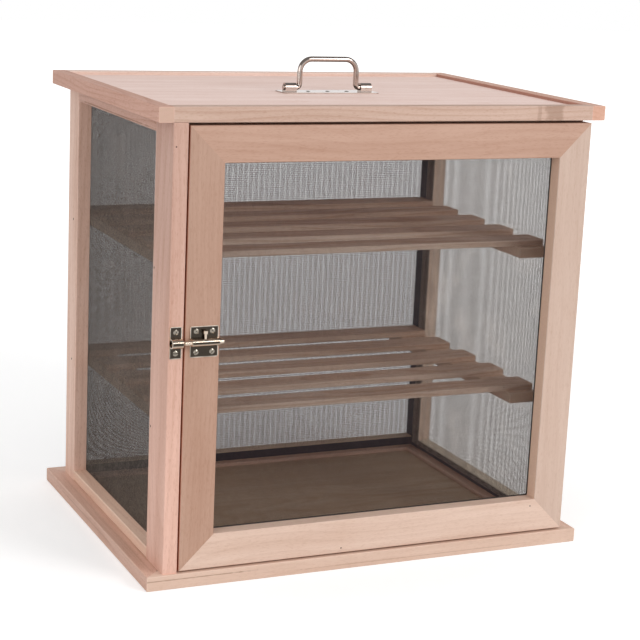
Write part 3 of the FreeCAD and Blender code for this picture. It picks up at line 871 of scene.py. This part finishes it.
def turnTo(normal, along):         # Euler turn that brings Z to normal and X to along
    normal, along = Vector(normal), Vector(along)
    return Matrix((along, normal.cross(along), normal)).transposed().to_euler()


def around(middle, turn, offX=(0,), offY=(0,), offZ=(0,)):     # points round a middle, all turned alike
    x, y, z = middle
    return [((x + right, y + back, z + up), turn) for right in offX for back in offY for up in offZ]


def spread(low, high, count):
    return [low + (high - low) * step / (count - 1) for step in range(count)]


towardsX, towardsY, towardsZ = (1, 0, 0), (0, 1, 0), (0, 0, 1)
faceFront = turnTo((0, -1, 0), towardsX)
faceBack = turnTo(towardsY, towardsX)
faceUp = turnTo(towardsZ, towardsX)

# slotted screws: round heads on the fittings, flat heads in the hinges
fittings = {                       # middle in mm, then how far the screws stand from it
    "keeper": {"middle": (-236.5, plateFace, 267), "offZ": (-11, 11)},
    "bolt": {"middle": (-205.5, plateFace, 267), "offX": (-8.8, 8.8), "offZ": (-11, 11)},
    "handle": {"middle": (1.5, -16, 505.2), "offX": (-24, 0, 24)},
}
hinges = {                         # in mm
    "heights": (98, 409),
    "x": 237.5,
    "postFace": -174,
    "doorFace": -174.4,
    "offZ": (-50 / 3, 50 / 3),
}
postLeafScrews, doorLeafScrews = [], []
for height in hinges["heights"]:
    onPost = (hinges["x"], hinges["postFace"], height)
    onDoor = (hinges["x"], hinges["doorFace"], height)
    postLeafScrews += around(onPost, faceFront, offZ=hinges["offZ"])
    doorLeafScrews += around(onDoor, faceBack, offZ=hinges["offZ"])
roundHead = buildScrew(screwShape["dome"])
flatHead = buildScrew(0.0)
caseRound = around(turn=faceFront, **fittings["keeper"]) + around(turn=faceUp, **fittings["handle"])
doorRound = around(turn=faceFront, **fittings["bolt"])
setFasteners("caseSlottedScrews", [(roundHead, caseRound), (flatHead, postLeafScrews)],
             "case", screwSteel, screwShape["spin"], "case_screws")
setFasteners("doorSlottedScrews", [(roundHead, doorRound), (flatHead, doorLeafScrews)],
             "door", screwSteel, screwShape["spin"], "door_screws")

# panel pins: two in each end of a slat, and the odd one in the frame
slats = {                          # in mm
    "count": 5,
    "tops": (178, 349),
    "first": -119,
    "apart": 68,
    "offX": (-217, -203, 203, 217),
    "offY": (-9, 9),
}
casePins = []
for top in slats["tops"]:
    for index in range(slats["count"]):
        middle = (0, slats["first"] + slats["apart"] * index, top)
        casePins += around(middle, faceUp, slats["offX"], slats["offY"])
casePins += [
    ((-240.8, -192, 468.0), faceFront),
    ((188.7, -136, 175.6), faceFront),
    ((-245.4, -178.8, 16.0), faceUp),
]
doorPins = [((-37.4, -192, 23.5), faceFront), ((200.9, -192, 48.4), faceFront)]
setFasteners("shelfPins", [(buildPin, casePins)], "case", nailSteel)
setFasteners("doorPins", [(buildPin, doorPins)], "door", nailSteel)

# staples round every screen, crowns along its edges
stapleSpots = {                    # in mm; a row is its two ends and its count
    "rails": (24, 481),
    "backFace": 175.5,
    "backPosts": (-232, 232),
    "backPostRow": (46, 458, 9),
    "backRailRow": (-205, 205, 8),
    "sideFace": 227.5,
    "sidePosts": (-149, 149),
    "sidePostHeights": (56, 110, 212, 268, 384, 440),      # clear of the bearers
    "sideRailRow": (-115, 115, 5),
    "doorFace": -173.9,
    "doorStiles": (-192, 210),
    "doorStileRow": (74, 433, 8),
    "doorRails": (52, 455),
    "doorRailRow": (-168, 186, 8),
}


def stapleRound(face, uprights, uprightRow, rails, railRow):     # a screen that faces along Y
    upright = turnTo(towardsY, towardsZ)
    level = turnTo(towardsY, towardsX)
    spots = around((0, face, 0), upright, offX=uprights, offZ=spread(*uprightRow))
    for z in rails:
        spots += around((0, face, z), level, offX=spread(*railRow))
    return spots


caseStaples = stapleRound(stapleSpots["backFace"], stapleSpots["backPosts"], stapleSpots["backPostRow"],
                          stapleSpots["rails"], stapleSpots["backRailRow"])
for side in (-1, 1):
    inward = (-side, 0, 0)
    face = side * stapleSpots["sideFace"]
    for z in stapleSpots["rails"]:
        level = turnTo(inward, towardsY)
        caseStaples += around((face, 0, z), level, offY=spread(*stapleSpots["sideRailRow"]))
    for z in stapleSpots["sidePostHeights"]:
        upright = turnTo(inward, towardsZ)
        caseStaples += around((face, 0, z), upright, offY=stapleSpots["sidePosts"])
doorStaples = stapleRound(stapleSpots["doorFace"], stapleSpots["doorStiles"], stapleSpots["doorStileRow"],
                          stapleSpots["doorRails"], stapleSpots["doorRailRow"])
setFasteners("screenStaples", [(buildStaple, caseStaples)],
             "case", zinc, stapleShape["spin"])
setFasteners("doorStaples", [(buildStaple, doorStaples)],
             "door", zinc, stapleShape["spin"])
print("screws, pins and staples set")


# grip of the handle: round rod, smoothly bent, with rounded feet
bow = {                            # in mm
    "radius": 3.1,
    "foot": 55.0,
    "footRounding": ((0.0, 0.78), (0.2, 0.92), (0.8, 1.0)),     # way in from the end, share of the radius
    "span": 35.0,
    "rise": 31.6,
    "corner": 14.0,
    "heel": 4.0,
    "pivot": (1.5, -16.0, 509.8),
    "sides": 24,
}


def buildBow(shape):
    heel = Vector((-bow["span"] - bow["heel"], 0, bow["heel"]))
    crown = Vector((-bow["span"] + bow["corner"], 0, bow["rise"] - bow["corner"]))
    half = [Vector((-bow["foot"] + way, 0, 0)) for way, share in bow["footRounding"]]
    half += arc(heel, bow["heel"], -math.pi / 2, 0, 8)
    half += arc(crown, bow["corner"], math.pi, math.pi / 2, 14)
    path = half + [Vector((-point.x, 0, point.z)) for point in reversed(half)]
    ends = [bow["radius"] * share for way, share in bow["footRounding"]]
    radii = ends + [bow["radius"]] * (len(path) - 2 * len(ends)) + ends[::-1]
    path = [(point + Vector(bow["pivot"])) * mm for point in path]
    sweep(shape, path, [radius * mm for radius in radii], bow["sides"])


def addBow():
    mesh = meshFrom("carryBow", buildBow)
    mesh.materials.append(chrome)
    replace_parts(addPiece("carryBow", mesh, "handle"), "handle_bow")


addBow()

# dark cord round the inside of the door's frame, painted shade: it puts a dark line where the shade between
# frame and wire falls
shadeCord = {                           # lengths in mm
    "radius": 0.75,
    "left": -188.0,
    "right": 206.0,
    "low": 56.0,
    "high": 451.0,
    "back": -174.4,
    "corner": 1.6,
    "sides": 10,
    "colour": (46, 40, 38),
    "strands": (2.2, 2.2, 2.2),
    "twist": 420.0,
    "looseness": 1.5,
    "bump": 0.4,
    "bumpDepth": 0.1,
    "roughness": 0.85,
}


def buildShadeCord(shape):
    radius = shadeCord["radius"]
    inset = radius + shadeCord["corner"]
    corners = [
        ("right", "high", 1, 1),
        ("left", "high", -1, 1),
        ("left", "low", -1, -1),
        ("right", "low", 1, -1),
    ]
    path = []
    for turn, (side, level, signX, signZ) in enumerate(corners):
        middle = Vector((shadeCord[side] - signX * inset, shadeCord["back"] - radius, shadeCord[level] - signZ * inset))
        path += arc(middle, shadeCord["corner"], turn * math.pi / 2, (turn + 1) * math.pi / 2, 5)
    sweep(shape, [point * mm for point in path], [radius * mm] * len(path), shadeCord["sides"], closed=True)


def addShadeCord():
    material, tree, shader, place = emptyMaterial("shadeCordFibre")
    twist = put(tree, "ShaderNodeTexWave", {
        "Vector": place["Object"],
        "Scale": shadeCord["twist"],
        "Distortion": shadeCord["looseness"],
    }, bands_direction="DIAGONAL").outputs["Fac"]
    dark = linear(*shadeCord["colour"])
    colour = blendColour(tree, twist, dark, shadeOf(dark, shadeCord["strands"]))
    fill(tree, shader.inputs["Base Color"], colour)
    shader.inputs["Roughness"].default_value = shadeCord["roughness"]
    addBump(tree, shader, twist, shadeCord["bump"], shadeCord["bumpDepth"] * mm)
    mesh = meshFrom("doorEdgeCord", buildShadeCord)
    mesh.materials.append(material)
    addPiece("doorEdgeCord", mesh, "door")


addShadeCord()
print("handle bow and door cord made")


# camera
cameraSettings = {
    "place": (-825.6, -1828.5, 693.6),
    "azimuth": -24.63,
    "elevation": 12.86,
    "roll": 2.62,
    "focal": 1747.7,                 # in pixels of the frame
    "frame": 640,
    "sensor": 36,
    "clip": (0.05, 60),
}


def addCamera():
    turn = math.radians(cameraSettings["azimuth"])
    rise = math.radians(cameraSettings["elevation"])
    roll = math.radians(cameraSettings["roll"])
    back = Vector((math.sin(turn) * math.cos(rise), -math.cos(turn) * math.cos(rise), math.sin(rise)))
    right = Vector((math.cos(turn), math.sin(turn), 0))
    up = back.cross(right)
    rolledRight = math.cos(roll) * right + math.sin(roll) * up
    rolledUp = math.cos(roll) * up - math.sin(roll) * right
    data = bpy.data.cameras.new("camera")
    data.sensor_width = cameraSettings["sensor"]
    data.sensor_fit = "HORIZONTAL"
    data.lens = cameraSettings["focal"] * cameraSettings["sensor"] / cameraSettings["frame"]
    data.clip_start, data.clip_end = cameraSettings["clip"]
    camera = bpy.data.objects.new("camera", data)
    axes = Matrix((rolledRight, rolledUp, back)).transposed()
    camera.matrix_world = Matrix.Translation(Vector(cameraSettings["place"]) * mm) @ axes.to_4x4()
    bpy.context.scene.collection.objects.link(camera)
    bpy.context.scene.camera = camera


# lamps, world and floor
lighting = {
    "aim": (0, 0, 0.25),
    "key": {"place": (1.5, -2.6, 1.75), "size": 1.4, "power": 40},
    "fill": {"place": (-2.2, -1.5, 1.1), "size": 1.6, "power": 14},
}
studio = {                         # heights of a direction, then the levels at them
    "sky": (0.0, 0.85, 0.36, 0.85),
    "mirrored": (0.05, 0.5, 1.0, 0.26),      # metal shows a white backdrop and a dark ceiling
}
floorLook = {
    "reach": 9.0,
    "speckle": 60.0,
    "albedo": (0.82, 0.86),
    "roughness": 0.9,
    "glow": (0.6, 3.0, 0.33, 0.62),          # distances in metres, then the glow at them
}


def addLamp(name, place, size, power):
    data = bpy.data.lights.new(name, "AREA")
    data.shape = "DISK"
    data.size = size
    data.energy = power
    lamp = bpy.data.objects.new(name, data)
    lamp.location = place
    lamp.rotation_euler = (Vector(lighting["aim"]) - Vector(place)).to_track_quat("-Z", "Y").to_euler()
    bpy.context.scene.collection.objects.link(lamp)


def addWorld():                    # white to the camera, a dim studio to everything else
    world = bpy.data.worlds.new("studio")
    world.use_nodes = True
    tree = world.node_tree
    tree.nodes.clear()
    height = component(tree, tree.nodes.new("ShaderNodeTexCoord").outputs["Generated"], "Z")
    level = ramp(tree, height, *studio["sky"])
    mirrored = ramp(tree, height, *studio["mirrored"])
    path = tree.nodes.new("ShaderNodeLightPath").outputs
    shown = blendColour(tree, path["Is Glossy Ray"], level, mirrored)
    soft = put(tree, "ShaderNodeBackground", {"Color": (1, 1, 1, 1), "Strength": shown}).outputs[0]
    white = put(tree, "ShaderNodeBackground", {"Color": (1, 1, 1, 1), "Strength": 1.0}).outputs[0]
    mix = put(tree, "ShaderNodeMixShader", {0: path["Is Camera Ray"], 1: soft, 2: white})
    output = tree.nodes.new("ShaderNodeOutputWorld")
    tree.links.new(mix.outputs[0], output.inputs[0])
    bpy.context.scene.world = world


def addFloor():
    mesh = bpy.data.meshes.new("floor")
    reach = floorLook["reach"]
    corners = [(-reach, -reach, 0), (reach, -reach, 0), (reach, reach, 0), (-reach, reach, 0)]
    mesh.from_pydata(corners, [], [(0, 1, 2, 3)])
    floor = bpy.data.objects.new("floor", mesh)
    bpy.context.scene.collection.objects.link(floor)
    material, tree, shader, place = emptyMaterial("paleFloor")
    speckle = noise(tree, place["Object"], floorLook["speckle"], 3.0)
    shade = ramp(tree, speckle, 0.0, 1.0, *floorLook["albedo"])
    grey = put(tree, "ShaderNodeCombineColor", {0: shade, 1: shade, 2: shade}).outputs[0]
    glow = ramp(tree, vectorCalc(tree, "LENGTH", place["Object"]), *floorLook["glow"])
    seen = tree.nodes.new("ShaderNodeLightPath").outputs["Is Camera Ray"]
    fill(tree, shader.inputs["Base Color"], grey)
    fill(tree, shader.inputs["Emission Color"], (1, 1, 1, 1))
    fill(tree, shader.inputs["Emission Strength"], calc(tree, "MULTIPLY", seen, glow))
    shader.inputs["Roughness"].default_value = floorLook["roughness"]
    shader.inputs["Specular IOR Level"].default_value = 0.0
    mesh.materials.append(material)


addCamera()
addLamp("keyLamp", **lighting["key"])
addLamp("fillLamp", **lighting["fill"])
addWorld()
addFloor()
bpy.context.scene.view_settings.view_transform = "Standard"
print("camera, lamps and floor set")
